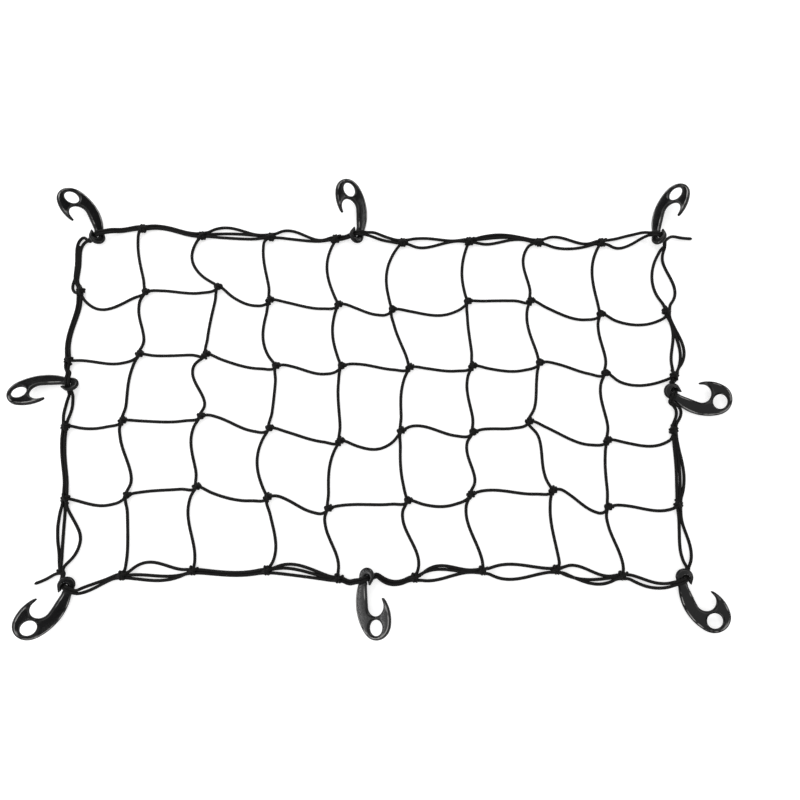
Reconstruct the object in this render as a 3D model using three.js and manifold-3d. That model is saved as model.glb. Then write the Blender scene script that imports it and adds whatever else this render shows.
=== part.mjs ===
import * as THREE from 'three';
import { mergeVertices } from 'three/addons/utils/BufferGeometryUtils.js';
import Module from 'manifold-3d';

const wasm = await Module();
wasm.setup();

// Cargo net of knotted elastic cord, lying on a floor, with eight moulded hooks on its doubled border.
// Millimetres, +Z up, z = 0 on the floor, the long side along X, the top border at +Y.

// Driving dimensions
const MESH = 100;                    // even distance from knot to knot
const COLUMNS = 9;                   // meshes along X
const ROWS = 5;                      // meshes along Y
const CORD = 3.8;                    // cord across its flats
const CORD_SIDES = 5;                // faces round the cord, one of them below
const PAIR = 4.7;                    // middle to middle of two border cords side by side
const CLEAR = 0.45;                  // room left round the border cords in a knot
const CENTRE = { x: -1, y: -2 };     // middle of the lying outline, moved to the origin
const STEPS = 3;                     // straight lengths in a cord between two knots
const MESH_KNOT = { long: 13, wide: 12.4, high: 7.8, corner: 2.6 };
const BORDER_KNOT = { long: 15, wide: 13.4, high: 8.8, corner: 1.4 };
const KNOT_EDGE = { in: 1.7, down: 1.5 };   // rounding of a knot's foot and crown
const BUNDLE = { wide: 9.2, high: 4.8, flat: 8.4, long: 19 };   // border cords gripped in a knot
const CLIP_BUNDLE = { wide: 7.4, high: CORD, flat: 5.2 };       // the same squeezed in a hook's clip
const KNOT_AXIS = 3.9;               // height of the cord's axis in a mesh knot
const BORDER_AXIS = 4.4;             // height of the border's axis in a border knot
const REST_AXIS = CORD / 2;          // height of the axis of a cord on the floor

// Knots: how far each lies from the even grid, by row from the top; the rows' inner columns 1 to 8
const KNOTS = [
  { row: 0, across: [-7, -14, -8, -7, -4, 0, 6, 4], up: [19, 7, 5, 2, -4, -2, -4, -4] },
  { row: 1, across: [4, 14, -6, -1, -19, -4, -9, -3], up: [15, 23, 2, -5, -13, 0, 1, -20] },
  { row: 2, across: [1, 1, 7, 5, 7, 1, 2, -1], up: [17, 17, -1, -1, -3, -1, 4, -12] },
  { row: 3, across: [-17, -2, 0, 4, -6, 0, -17, -3], up: [16, 23, 5, -14, 1, -1, 15, -13] },
  { row: 4, across: [-3, -3, 1, -11, 4, -5, 14, -7], up: [7, 19, 4, -12, -1, 8, 14, -10] },
  { row: 5, across: [-2, -2, 3, 4, 13, 9, 14, 7], up: [-7, 0, 0, -11, -10, 0, 1, -7] },
];
// Border knots of the two short sides, rows 1 to 4
const SIDE_KNOTS = [
  { column: 0, across: [4, -5, -1, 8], up: [16, 8, 7, 2] },
  { column: 9, across: [-3, 2, -5, -6], up: [-15, -15, 2, -7] },
];
// Where a mesh cord meets its border knot, from that knot's middle
const MEETS = [
  { side: 'top', across: [-6, -4, -10, -2, -6, -4, -14, -5], up: [-6, -4, -7, -6, -7, -8, -5, -7] },
  { side: 'bottom', across: [4, 2, 8, 0, 4, 1, 5, 2], up: [10, 10, 12, 9, 10, 7, 8, 7] },
  { side: 'left', across: [5, 8, 6, 5], up: [-11, -1, 2, 0] },
  { side: 'right', across: [-2, -7, -4, -3], up: [-10, -5, -13, -3] },
];
// Sideways bow of each mesh cord at a third and at two thirds of its length, to +X for a column
const COLUMN_BOWS = [
  { column: 1, third: [-5, -8, -7, -4, 1], twoThirds: [-3, 2, -3, 6, 2] },
  { column: 2, third: [-22, -2, -18, -13, -12], twoThirds: [-23, -3, -1, -6, -5] },
  { column: 3, third: [-4, -10, 1, -16, 2], twoThirds: [-1, -13, 1, -15, 6] },
  { column: 4, third: [-14, -11, -5, -9, -8], twoThirds: [-12, -10, -2, -6, 0] },
  { column: 5, third: [-14, -5, -8, -5, -11], twoThirds: [-12, -2, -5, -6, 0] },
  { column: 6, third: [-8, -3, -9, -8, -12], twoThirds: [-8, -1, -3, 3, -5] },
  { column: 7, third: [-10, -10, 0, 5, -7], twoThirds: [-3, -6, 4, -3, -4] },
  { column: 8, third: [-11, -5, -8, -4, -6], twoThirds: [-8, 1, -1, -2, 0] },
];
// The same for each row, to +Y
const ROW_BOWS = [
  { row: 1, third: [-21, -1, -11, -3, -3, -9, 1, -9, -12],
    twoThirds: [-13, -7, -15, -8, -10, -17, 1, -15, -13] },
  { row: 2, third: [-5, -2, -6, -3, 3, -3, -7, 2, -14],
    twoThirds: [-11, -1, -9, -12, -3, -7, -11, -4, -12] },
  { row: 3, third: [-7, -3, 1, -2, -14, 7, 0, -6, -5],
    twoThirds: [-7, -6, -8, -6, -21, -4, -5, -14, -10] },
  { row: 4, third: [-9, 2, -8, 1, 2, -10, 4, 0, 1],
    twoThirds: [-13, 0, -10, -9, -2, -13, -3, -12, -5] },
];
// Border lengths clockwise from the top left hook: outward bow of each strand at one and two thirds, or,
// at the two left corners, the places that it lies through
const BORDER = [
  { from: 'TL', side: 'top', outer: [3, 3], inner: [-2, -2] },
  { from: 'T1', side: 'top', outer: [7, 4], inner: [2, -1] },
  { from: 'T2', side: 'top', outer: [14, 7], inner: [-3, -4] },
  { from: 'T3', side: 'top', outer: [10, 0], inner: [-3, -5] },
  { from: 'T4', side: 'top', outer: [3, 3], inner: [-2, -2] },
  { from: 'TM', side: 'top', outer: [6, 4], inner: [-2, -2] },
  { from: 'T5', side: 'top', outer: [6, 3], inner: [-9, -2] },
  { from: 'T6', side: 'top', outer: [11, 10], inner: [-6, 3] },
  { from: 'T7', side: 'top', outer: [8, -1], inner: [-10, -9] },
  { from: 'T8', side: 'top', outer: [3, 4], inner: [-12, -1] },
  { from: 'TR', side: 'right', outer: [1, 14], inner: [-17, -18] },
  { from: 'R1', side: 'right', outer: [13, 19], inner: [6, 0] },
  { from: 'R2', side: 'right', outer: [3, 3], inner: [-2, -2] },
  { from: 'RM', side: 'right', outer: [16, 12], inner: [9, 6] },
  { from: 'R3', side: 'right', outer: [8, 11], inner: [0, 0] },
  { from: 'R4', side: 'right', outer: [4, 9], inner: [-3, -6] },
  { from: 'BR', side: 'bottom', outer: [10, 9], inner: [3, 0] },
  { from: 'B8', side: 'bottom', outer: [14, 11], inner: [0, -8] },
  { from: 'B7', side: 'bottom', outer: [8, 12], inner: [-6, -9] },
  { from: 'B6', side: 'bottom', outer: [1, 5], inner: [-7, -14] },
  { from: 'B5', side: 'bottom', outer: [10, 11], inner: [6, 6] },
  { from: 'BM', side: 'bottom', outer: [6, 6], inner: [1, 1] },
  { from: 'B4', side: 'bottom', outer: [2, 2], inner: [-9, -13] },
  { from: 'B3', side: 'bottom', outer: [6, 6], inner: [1, 1] },
  { from: 'B2', side: 'bottom', outer: [10, 8], inner: [-9, -17] },
  { from: 'B1', side: 'bottom', outer: [2, 4], inner: [-2, -3] },
  { from: 'BL', side: 'left', lies: {
    outer: [[-444, -235], [-448.5, -208], [-450, -188]],
    inner: [[-437, -244], [-425, -233], [-415.5, -208], [-421, -190]] } },
  { from: 'L4', side: 'left', outer: [5, 7], inner: [0, 2] },
  { from: 'L3', side: 'left', outer: [8, 7], inner: [-4, -4] },
  { from: 'LM', side: 'left', outer: [7, 7], inner: [2, 2] },
  { from: 'L2', side: 'left', outer: [8, 4], inner: [4, -1] },
  { from: 'L1', side: 'left', lies: {
    outer: [[-457.5, 184], [-456, 208], [-457.5, 236], [-453, 254]],
    inner: [[-452, 184], [-450.5, 208], [-452, 234], [-447, 249]] } },
];
const OUTWARD = {
  top: new THREE.Vector3(0, 1, 0), right: new THREE.Vector3(1, 0, 0),
  bottom: new THREE.Vector3(0, -1, 0), left: new THREE.Vector3(-1, 0, 0),
};
const ALONG = {
  top: new THREE.Vector3(1, 0, 0), right: new THREE.Vector3(0, 1, 0),
  bottom: new THREE.Vector3(1, 0, 0), left: new THREE.Vector3(0, 1, 0),
};
// Cut ends of the border cord
const TAILS = [
  { at: 'TR', behind: -2, places: [
    { x: 460, y: 255, axis: 8 }, { x: 478, y: 253, axis: REST_AXIS },
    { x: 495, y: 252, axis: REST_AXIS }] },
  { at: 'BL', behind: -1, places: [
    { x: -442, y: -251, axis: 5 }, { x: -460, y: -262, axis: REST_AXIS },
    { x: -476, y: -268, axis: REST_AXIS }] },
];
const END_KNOT = { x: -441.5, y: -251, long: 10, wide: 9, high: 7, corner: 2 };

// Hooks: middle of the clip, heading of the shank, side of the jaw, roll of the jaw upwards and pitch of the
// crown upwards in degrees; leads says that the cord's entry comes first, clockwise round the border, and
// out is where along the shank it comes out from behind the clip
const HOOKS = [
  { name: 'hook_top_left', at: 'TL', x: -424.5, y: 252, heading: 123, jaw: 1,
    roll: 36, pitch: 10, leads: false, out: 2 },
  { name: 'hook_top_middle', at: 'TM', x: -25, y: 254.5, heading: 99, jaw: 1,
    roll: 34, pitch: 10, leads: false, out: 1 },
  { name: 'hook_top_right', at: 'TR', x: 439.5, y: 250, heading: 68.5, jaw: -1,
    roll: 48, pitch: 9, leads: true, out: -8 },
  { name: 'hook_right_middle', at: 'RM', x: 445, y: 10, heading: -13, jaw: 1,
    roll: 12, pitch: 0, leads: false, out: -2 },
  { name: 'hook_bottom_right', at: 'BR', x: 443, y: -258, heading: -57, jaw: 1,
    roll: 11, pitch: -2, leads: false, out: -8 },
  { name: 'hook_bottom_middle', at: 'BM', x: -5, y: -257, heading: -78.5, jaw: 1,
    roll: 29, pitch: 12, leads: false, out: 1 },
  { name: 'hook_bottom_left', at: 'BL', x: -427, y: -269, heading: -126, jaw: -1,
    roll: 37, pitch: 10, leads: true, out: -8 },
  { name: 'hook_left_middle', at: 'LM', x: -447, y: 20, heading: -169, jaw: 1,
    roll: 27, pitch: 8, leads: false, out: 1 },
];
// Hook outline, u along the shank from the middle of the clip and v towards the jaw
const HOOK_THICK = 6.2;
const CLIP = { radius: 12.1, start: -115, end: -328 };
const THROAT = { u: 3.2, v: 0.8, radius: 5, start: 1, end: 330 };
const MOUTH = { low: -1.7, high: 0.9, end: 10.6 };
const TONGUE = { u: 14.3, v: 1.9, inner: 12.1 };
const NECK = [{ u: 13, v: -3.2 }, { u: 27, v: -5.3 }];
const JAW = { u: 43.5, v: 5.8, radius: 13.4, start: -100, end: 95 };
const TIP = [{ u: 35.5, v: 17.9 }, { u: 34.7, v: 19.6 }, { u: 36.1, v: 21.2 }];
const ARM = { u: 57.6, v: -19.2, radius: 45.9, start: 114, end: 72 };
const CROWN = { u: 65.6, v: 2.3, radius: 23, start: 65, end: -58 };
const BACK = { u: 44.6, v: 42.8, radius: 68.8, start: -64, end: -122 };
const EYE = { u: 71.7, v: 0.3, radius: 10.7 };
// Route of the border through a clip: over the neck, in through the throat and out behind the clip
const THREAD = [
  { u: -1.5, v: -18, n: 6.4 }, { u: 2, v: -9, n: 6.6 }, { u: 3, v: -3.2, n: 6.4 }, { u: 3.2, v: 0.1, n: 3.2 },
  { u: 3.2, v: 1.5, n: -3.2 }, { u: 2.4, v: 4.6, n: -6.5 },
];
const THREAD_OUT = [{ share: 0.45, v: 9, n: -6.7 }, { share: 1, v: 13, n: -6.5 }];
const THREAD_STEPS = 11;

const radians = THREE.MathUtils.degToRad;

// Closed solid for joining and cutting, from a shape's points and triangles
function solid(shape) {
  const plain = shape.index ? shape.toNonIndexed() : shape.clone();
  plain.deleteAttribute('normal');
  plain.deleteAttribute('uv');
  const joined = mergeVertices(plain, 1e-4);
  return new wasm.Manifold(new wasm.Mesh({
    numProp: 3,
    vertProperties: new Float32Array(joined.attributes.position.array),
    triVerts: new Uint32Array(joined.index.array),
  }));
}

const fuse = (solids) => solids.reduce((whole, piece) => whole.add(piece));

// Cord section with a flat below
function cordSection() {
  const radius = CORD / 2 / Math.cos(Math.PI / CORD_SIDES);
  const corners = Array.from({ length: CORD_SIDES }, (_, i) => (Math.PI / CORD_SIDES) * (2 * i + 1));
  return new THREE.Shape(corners.map((a) => new THREE.Vector2(radius * Math.cos(a), radius * Math.sin(a))));
}

// Frames along a route that keep a section's flat side below
function levelFrames(route, steps) {
  const tangents = Array.from({ length: steps + 1 }, (_, i) => route.getTangentAt(i / steps));
  const normals = tangents.map((t) => new THREE.Vector3(0, 0, -1).addScaledVector(t, t.z).normalize());
  const binormals = tangents.map((t, i) => new THREE.Vector3().crossVectors(t, normals[i]));
  return { tangents, normals, binormals };
}

// Cord between two points: bowed sideways by a cubic through the bows at one and two thirds, high at its ends
// and down on the floor between them
class Span extends THREE.Curve {
  constructor(from, to, sideways, bows) {
    super();
    Object.assign(this, { from, to, sideways, bows });
    this.reach = Math.min(0.5, 24 / from.distanceTo(to));
  }

  getPoint(t, target = new THREE.Vector3()) {
    const [third, twoThirds] = this.bows;
    const bow = 13.5 * t * (1 - t) * (third * (2 / 3 - t) + twoThirds * (t - 1 / 3));
    const nearEnd = 1 - THREE.MathUtils.smoothstep(t, 0, this.reach);
    const farEnd = THREE.MathUtils.smoothstep(t, 1 - this.reach, 1);
    target.lerpVectors(this.from, this.to, t).addScaledVector(this.sideways, bow);
    target.z = REST_AXIS + (this.from.z - REST_AXIS) * nearEnd + (this.to.z - REST_AXIS) * farEnd;
    return target;
  }

  computeFrenetFrames(steps) {
    return levelFrames(this, steps);
  }
}

// Cord laid through given places, bending at each
class Chain extends THREE.Curve {
  constructor(places) {
    super();
    this.places = places;
  }

  getUtoTmapping(u) {
    return u;
  }

  getPoint(t, target = new THREE.Vector3()) {
    const at = t * (this.places.length - 1);
    const i = Math.min(Math.floor(at), this.places.length - 2);
    return target.lerpVectors(this.places[i], this.places[i + 1], at - i);
  }

  getTangent(t, target = new THREE.Vector3()) {
    const last = this.places.length - 1;
    const i = Math.round(t * last);
    const way = (k) => this.places[k + 1].clone().sub(this.places[k]).normalize();
    return target.copy(way(Math.max(i - 1, 0))).add(way(Math.min(i, last - 1))).normalize();
  }

  computeFrenetFrames(steps) {
    return levelFrames(this, steps);
  }
}

// Route through a clip, the bundle's wide side starting along the shank
class Thread extends THREE.CatmullRomCurve3 {
  constructor(places, wideSide) {
    super(places);
    this.wideSide = wideSide;
  }

  computeFrenetFrames(steps) {
    const tangents = Array.from({ length: steps + 1 }, (_, i) => this.getTangentAt(i / steps));
    const wide = this.wideSide.clone();
    const binormals = tangents.map((t) => wide.addScaledVector(t, -wide.dot(t)).normalize().clone());
    const normals = tangents.map((t, i) => new THREE.Vector3().crossVectors(binormals[i], t));
    return { tangents, binormals, normals };
  }
}

function cord(route, steps) {
  return solid(new THREE.ExtrudeGeometry(cordSection(), { extrudePath: route, steps, bevelEnabled: false }));
}

// Bundle section, wider than high, with flats below and above
function bundleSection({ wide, high, flat }, more = 0) {
  const corners = [[high / 2, flat / 2], [0, wide / 2], [-high / 2, flat / 2]];
  const half = corners.map(([x, y]) => new THREE.Vector2(x + Math.sign(x) * more, y + more));
  return new THREE.Shape([...half, ...half.toReversed().map((p) => new THREE.Vector2(p.x, -p.y))]);
}

// Pulled-tight knot: a cushion with cut corners, its foot and crown drawn in
function knot(size, x, y, turn) {
  const long = size.long / 2 - KNOT_EDGE.in;
  const wide = size.wide / 2 - KNOT_EDGE.in;
  const half = [
    [long, size.corner - wide], [long, wide - size.corner],
    [long - size.corner, wide], [size.corner - long, wide]];
  const corners = [...half, ...half.map(([a, b]) => [-a, -b])].map(([a, b]) => new THREE.Vector2(a, b));
  const shape = new THREE.ExtrudeGeometry(new THREE.Shape(corners), {
    depth: size.high - 2 * KNOT_EDGE.down,
    bevelThickness: KNOT_EDGE.down, bevelSize: KNOT_EDGE.in, bevelSegments: 1,
  });
  shape.rotateZ(turn);
  shape.translate(x, y, KNOT_EDGE.down);
  return solid(shape);
}

// Middle of a knot, from its row and column
function knotPlace(row, column) {
  const side = SIDE_KNOTS.find((s) => s.column === column);
  const shift = side
    ? { x: side.across[row - 1], y: side.up[row - 1] }
    : { x: KNOTS[row].across[column - 1], y: KNOTS[row].up[column - 1] };
  return new THREE.Vector3(
    (column - COLUMNS / 2) * MESH + shift.x, (ROWS / 2 - row) * MESH + shift.y, KNOT_AXIS);
}

// End of a mesh cord in the inner wall of its border knot
function meetPlace(side, index, row, column) {
  const meet = MEETS.find((m) => m.side === side);
  const place = knotPlace(row, column);
  const shift = side === 'top' || side === 'bottom' ? meet.across[index] : meet.up[index];
  const along = THREE.MathUtils.clamp(shift, -4, 4);
  const wall = (BORDER_KNOT.wide + BUNDLE.wide) / 4;
  place.addScaledVector(OUTWARD[side], -wall).addScaledVector(ALONG[side], along);
  return place.setZ(BORDER_AXIS);
}

// Frame of a hook: its axes in the room, and its place with the lowest corner on the floor
function hookFrame(row, outline) {
  const heading = radians(row.heading);
  const roll = radians(row.roll);
  const pitch = radians(row.pitch);
  const u = new THREE.Vector3(
    Math.cos(heading) * Math.cos(pitch), Math.sin(heading) * Math.cos(pitch), Math.sin(pitch));
  const flat = new THREE.Vector3(-Math.sin(heading) * row.jaw, Math.cos(heading) * row.jaw, 0);
  const up = new THREE.Vector3().crossVectors(u, flat).multiplyScalar(row.jaw);
  const v = flat.clone().multiplyScalar(Math.cos(roll)).addScaledVector(up, Math.sin(roll));
  const n = new THREE.Vector3().crossVectors(u, v).multiplyScalar(row.jaw);
  const lowest = Math.min(...outline.map((p) => p.x * u.z + p.y * v.z)) - (HOOK_THICK / 2) * Math.abs(n.z);
  return { u, v, n, middle: new THREE.Vector3(row.x, row.y, -lowest) };
}

const inFrame = (frame, u, v, n) => frame.middle.clone()
  .addScaledVector(frame.u, u).addScaledVector(frame.v, v).addScaledVector(frame.n, n);

function arcPoints(arc, count) {
  return Array.from({ length: count + 1 }, (_, i) => {
    const angle = radians(arc.start + ((arc.end - arc.start) * i) / count);
    return new THREE.Vector2(
      (arc.u ?? 0) + arc.radius * Math.cos(angle), (arc.v ?? 0) + arc.radius * Math.sin(angle));
  });
}

// Hook outline: neck, jaw, tip, arm, crown, back, clip, tongue, mouth and throat in turn
function hookOutline() {
  const corner = (p) => new THREE.Vector2(p.u, p.v);
  return [
    new THREE.Vector2(MOUTH.end, MOUTH.low), ...NECK.map(corner),
    ...arcPoints(JAW, 10), ...TIP.map(corner),
    ...arcPoints(ARM, 4), ...arcPoints(CROWN, 7), ...arcPoints(BACK, 5), ...arcPoints(CLIP, 8),
    corner(TONGUE), new THREE.Vector2(TONGUE.inner, MOUTH.high),
    ...arcPoints(THROAT, 8),
  ];
}

function hookPlate(frame, outline) {
  const shape = new THREE.Shape(outline);
  shape.holes.push(new THREE.Path(arcPoints({ ...EYE, start: 0, end: 330 }, 11)));
  const plate = new THREE.ExtrudeGeometry(shape, { depth: HOOK_THICK, bevelEnabled: false });
  plate.translate(0, 0, -HOOK_THICK / 2);
  const place = plate.attributes.position;
  for (let i = 0; i < place.count; i += 1) {
    const p = inFrame(frame, place.getX(i), place.getY(i), place.getZ(i));
    place.setXYZ(i, p.x, p.y, p.z);
  }
  const body = solid(plate);
  return body.volume() > 0 ? body : turnedOut(plate);
}

// The same plate with its triangles facing the other way, for a hook laid on its other face
function turnedOut(shape) {
  const place = shape.attributes.position;
  const corner = new THREE.Vector3();
  const other = new THREE.Vector3();
  for (let i = 0; i < place.count; i += 3) {
    corner.fromBufferAttribute(place, i + 1);
    other.fromBufferAttribute(place, i + 2);
    place.setXYZ(i + 1, other.x, other.y, other.z);
    place.setXYZ(i + 2, corner.x, corner.y, corner.z);
  }
  return solid(shape);
}

// Route of the border through a clip; it never runs lower before the neck than on it
function threadPoints(frame, out) {
  const behind = THREAD.at(-1).u;
  const points = [...THREAD, ...THREAD_OUT.map((p) => ({ ...p, u: behind + (out - behind) * p.share }))]
    .map((p) => inFrame(frame, p.u, p.v, p.n));
  points[0].z = Math.max(points[0].z, points[1].z - 1);
  points.forEach((p) => { p.z = Math.max(p.z, REST_AXIS); });
  return points;
}

// Border stations: knots by side and number, hooks by name with their thread
function borderStations(frames) {
  const stations = {};
  for (let i = 1; i < COLUMNS; i += 1) {
    stations[`T${i}`] = knotPlace(0, i);
    stations[`B${i}`] = knotPlace(ROWS, i);
  }
  for (let i = 1; i < ROWS; i += 1) {
    stations[`L${i}`] = knotPlace(i, 0);
    stations[`R${i}`] = knotPlace(i, COLUMNS);
  }
  Object.values(stations).forEach((p) => { p.z = BORDER_AXIS; });
  HOOKS.forEach((row) => {
    const points = threadPoints(frames[row.at], row.out);
    stations[row.at] = {
      points, wideSide: frames[row.at].u,
      arrive: points.at(row.leads ? 0 : -1), leave: points.at(row.leads ? -1 : 0),
    };
  });
  return stations;
}

// Room for the border cords, straight through a border knot
function tunnel(place, side) {
  const half = ALONG[side].clone().multiplyScalar(BUNDLE.long / 2);
  const route = new THREE.LineCurve3(place.clone().sub(half), place.clone().add(half));
  return solid(new THREE.ExtrudeGeometry(
    bundleSection(BUNDLE, CLEAR), { extrudePath: route, steps: 1, bevelEnabled: false }));
}

const SIDE_OF = { T: 'top', R: 'right', B: 'bottom', L: 'left' };
const knotStations = (stations) => Object.entries(stations).filter(([, place]) => place.isVector3)
  .map(([name, place]) => ({ place, side: SIDE_OF[name[0]] }));

// The two strands of the border, each unbroken from hook to hook and straight through the knots on its way
function borderStrands(stations) {
  const pieces = [];
  [['outer', 1], ['inner', -1]].forEach(([strand, sign]) => {
    let places = [];
    BORDER.forEach((row, i) => {
      const next = BORDER[(i + 1) % BORDER.length];
      const beside = (sign * PAIR) / 2;
      const way = ALONG[row.side].clone().multiplyScalar(row.side === 'top' || row.side === 'left' ? 1 : -1);
      const end = (place, sense) => place.clone().addScaledVector(OUTWARD[row.side], beside)
        .addScaledVector(way, sense * (BUNDLE.long / 2));
      const { leave } = stations[row.from];
      const { arrive } = stations[next.from];
      const moved = (place) => place.clone().addScaledVector(OUTWARD[row.side], beside);
      const from = leave ? moved(leave) : end(stations[row.from], 1);
      const to = arrive ? moved(arrive) : end(stations[next.from], -1);
      places.push(...(row.lies
        ? [from, ...row.lies[strand].map(([x, y]) => new THREE.Vector3(x, y, REST_AXIS)), to]
        : new Span(from, to, OUTWARD[row.side], row[strand].map((bow) => bow - beside)).getPoints(STEPS)));
      if (arrive) {
        pieces.push(cord(new Chain(places), places.length - 1));
        places = [];
      }
    });
  });
  return pieces;
}

function borderSolid(stations) {
  const pieces = borderStrands(stations);
  HOOKS.forEach((row) => pieces.push(solid(new THREE.ExtrudeGeometry(bundleSection(CLIP_BUNDLE), {
    extrudePath: new Thread(stations[row.at].points, stations[row.at].wideSide),
    steps: THREAD_STEPS, bevelEnabled: false,
  }))));
  TAILS.forEach((tail) => {
    const places = tail.places.map((p) => new THREE.Vector3(p.x, p.y, p.axis));
    pieces.push(cord(new Chain([stations[tail.at].points.at(tail.behind), ...places]), places.length));
  });
  pieces.push(knot(END_KNOT, END_KNOT.x, END_KNOT.y, 0));
  return fuse(pieces);
}

function meshSolid(stations) {
  const pieces = [];
  const span = (from, to, sideways, bows) => {
    pieces.push(cord(new Span(from, to, sideways, bows), STEPS));
  };
  COLUMN_BOWS.forEach(({ column, third, twoThirds }) => {
    for (let row = 0; row < ROWS; row += 1) {
      const first = row === 0;
      const last = row === ROWS - 1;
      const from = first ? meetPlace('top', column - 1, 0, column) : knotPlace(row, column);
      const to = last ? meetPlace('bottom', column - 1, ROWS, column) : knotPlace(row + 1, column);
      span(from, to, OUTWARD.right, [third[row], twoThirds[row]]);
    }
  });
  ROW_BOWS.forEach(({ row, third, twoThirds }) => {
    for (let column = 0; column < COLUMNS; column += 1) {
      const first = column === 0;
      const last = column === COLUMNS - 1;
      const from = first ? meetPlace('left', row - 1, row, 0) : knotPlace(row, column);
      const to = last ? meetPlace('right', row - 1, row, COLUMNS) : knotPlace(row, column + 1);
      span(from, to, OUTWARD.top, [third[column], twoThirds[column]]);
    }
  });
  for (let row = 0; row <= ROWS; row += 1) {
    for (let column = 0; column <= COLUMNS; column += 1) {
      const ends = (row % ROWS === 0) + (column % COLUMNS === 0);
      const { x, y } = ends < 2 ? knotPlace(row, column) : {};
      if (ends === 0) pieces.push(knot(MESH_KNOT, x, y, 0));
      if (ends === 1) pieces.push(knot(BORDER_KNOT, x, y, row % ROWS === 0 ? 0 : Math.PI / 2));
    }
  }
  return knotStations(stations).reduce(
    (whole, { place, side }) => whole.subtract(tunnel(place, side)), fuse(pieces));
}

function toMesh(body, name, colour, roughness) {
  const { vertProperties, triVerts, numProp } = body.translate([-CENTRE.x, -CENTRE.y, 0]).getMesh();
  const shape = new THREE.BufferGeometry();
  const points = Float32Array.from({ length: (vertProperties.length / numProp) * 3 }, (_, i) =>
    vertProperties[Math.floor(i / 3) * numProp + (i % 3)]);
  shape.setAttribute('position', new THREE.BufferAttribute(points, 3));
  shape.setIndex([...triVerts]);
  shape.computeVertexNormals();
  const mesh = new THREE.Mesh(shape, new THREE.MeshStandardMaterial({ color: colour, roughness }));
  mesh.name = name;
  return mesh;
}

const outline = hookOutline();
const frames = Object.fromEntries(HOOKS.map((row) => [row.at, hookFrame(row, outline)]));
const stations = borderStations(frames);

const net = new THREE.Group();
net.name = 'cart_cargo_net';
net.add(toMesh(meshSolid(stations), 'mesh_net', 0x141416, 0.85));
net.add(toMesh(borderSolid(stations), 'border_cord', 0x141416, 0.85));
HOOKS.forEach((row) => net.add(toMesh(hookPlate(frames[row.at], outline), row.name, 0x0c0c0e, 0.35)));

export default net;
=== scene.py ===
"""Cargo net of knotted elastic cord, lying on a pale floor, with eight moulded hooks on its border."""

import math

import bpy
import numpy as np
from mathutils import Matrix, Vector
from mathutils.geometry import delaunay_2d_cdt


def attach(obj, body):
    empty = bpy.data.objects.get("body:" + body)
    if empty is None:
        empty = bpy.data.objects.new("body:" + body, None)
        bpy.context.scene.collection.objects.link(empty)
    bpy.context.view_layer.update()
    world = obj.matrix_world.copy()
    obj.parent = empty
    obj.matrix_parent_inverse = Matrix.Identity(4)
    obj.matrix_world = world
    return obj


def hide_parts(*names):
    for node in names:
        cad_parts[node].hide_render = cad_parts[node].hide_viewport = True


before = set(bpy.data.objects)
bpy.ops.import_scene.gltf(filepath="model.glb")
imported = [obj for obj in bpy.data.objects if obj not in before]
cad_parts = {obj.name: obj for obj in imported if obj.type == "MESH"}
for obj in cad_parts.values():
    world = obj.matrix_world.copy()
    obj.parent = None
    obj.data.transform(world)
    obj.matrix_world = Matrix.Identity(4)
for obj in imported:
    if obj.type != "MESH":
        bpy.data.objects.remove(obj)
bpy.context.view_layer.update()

# Hooks: eight alike, moulded in glossy black plastic. A curled clip snaps onto the border cord, and a shank with
# broad chamfers leads to an open jaw with a pointed tip and a crown with a round eye.
MM = 0.001
NET_MIDDLE = np.array([-1.0, -2.0, 0.0])     # middle of the lying outline, which stands at the origin
# Each hook as it lies: place of its clip, heading of its shank, side of its jaw, roll and pitch in degrees,
# whether the border, run clockwise, comes to its neck first, how far out along the shank the cord leaves it, and,
# on one, how far out the cord is shifted at the neck
HOOKS = {
    "TL": dict(name="top_left", x=-424.5, y=252, heading=123, jaw=1, roll=36, pitch=10, leads=False, out=2),
    "TM": dict(name="top_middle", x=-25, y=254.5, heading=99, jaw=1, roll=34, pitch=10, leads=False, out=1),
    "TR": dict(name="top_right", x=439.5, y=250, heading=68.5, jaw=-1, roll=48, pitch=9, leads=True, out=-8),
    "RM": dict(name="right_middle", x=445, y=10, heading=-13, jaw=1, roll=12, pitch=0, leads=False, out=-2),
    "BR": dict(name="bottom_right", x=443, y=-258, heading=-57, jaw=1, roll=11, pitch=-2, leads=False, out=-8),
    "BM": dict(name="bottom_middle", x=-5, y=-257, heading=-78.5, jaw=1, roll=29, pitch=12, leads=False, out=1,
               neck=4),
    "BL": dict(name="bottom_left", x=-427, y=-269, heading=-126, jaw=-1, roll=37, pitch=10, leads=True, out=-8),
    "LM": dict(name="left_middle", x=-447, y=20, heading=-169, jaw=1, roll=27, pitch=8, leads=False, out=1),
}
HOOK_HALF = 3.1                              # half of the thickness
OUTLINE_STEP = 0.8
# Outline in the hook's own plane, u along the shank and v to the jaw: circles with their start and end in degrees,
# and short lines between them
NECK = ((10.6, -1.7), (13, -3.2), (20, -4.3), (27, -5.3), (34, -6.5))
JAW = dict(u=43.5, v=5.8, radius=13.4, start=-100, end=95)
TIP = ((35.5, 17.9), (34.7, 19.6), (36.1, 21.2))
ARM = dict(u=57.6, v=-19.2, radius=45.9, start=114, end=70)
CROWN = dict(u=65.6, v=2.3, radius=23, start=69, end=-62)
BACK = dict(u=44.6, v=42.8, radius=68.8, start=-63, end=-122)
CLIP = dict(u=0, v=0, radius=12.1, start=-115, end=-328)
TONGUE = ((14.3, 1.9), (12.1, 0.9))
THROAT = dict(u=3.2, v=0.8, radius=4.4, start=1, end=330)
EYE = dict(u=71.7, v=0.3, radius=10.7, start=0, end=360)
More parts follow.
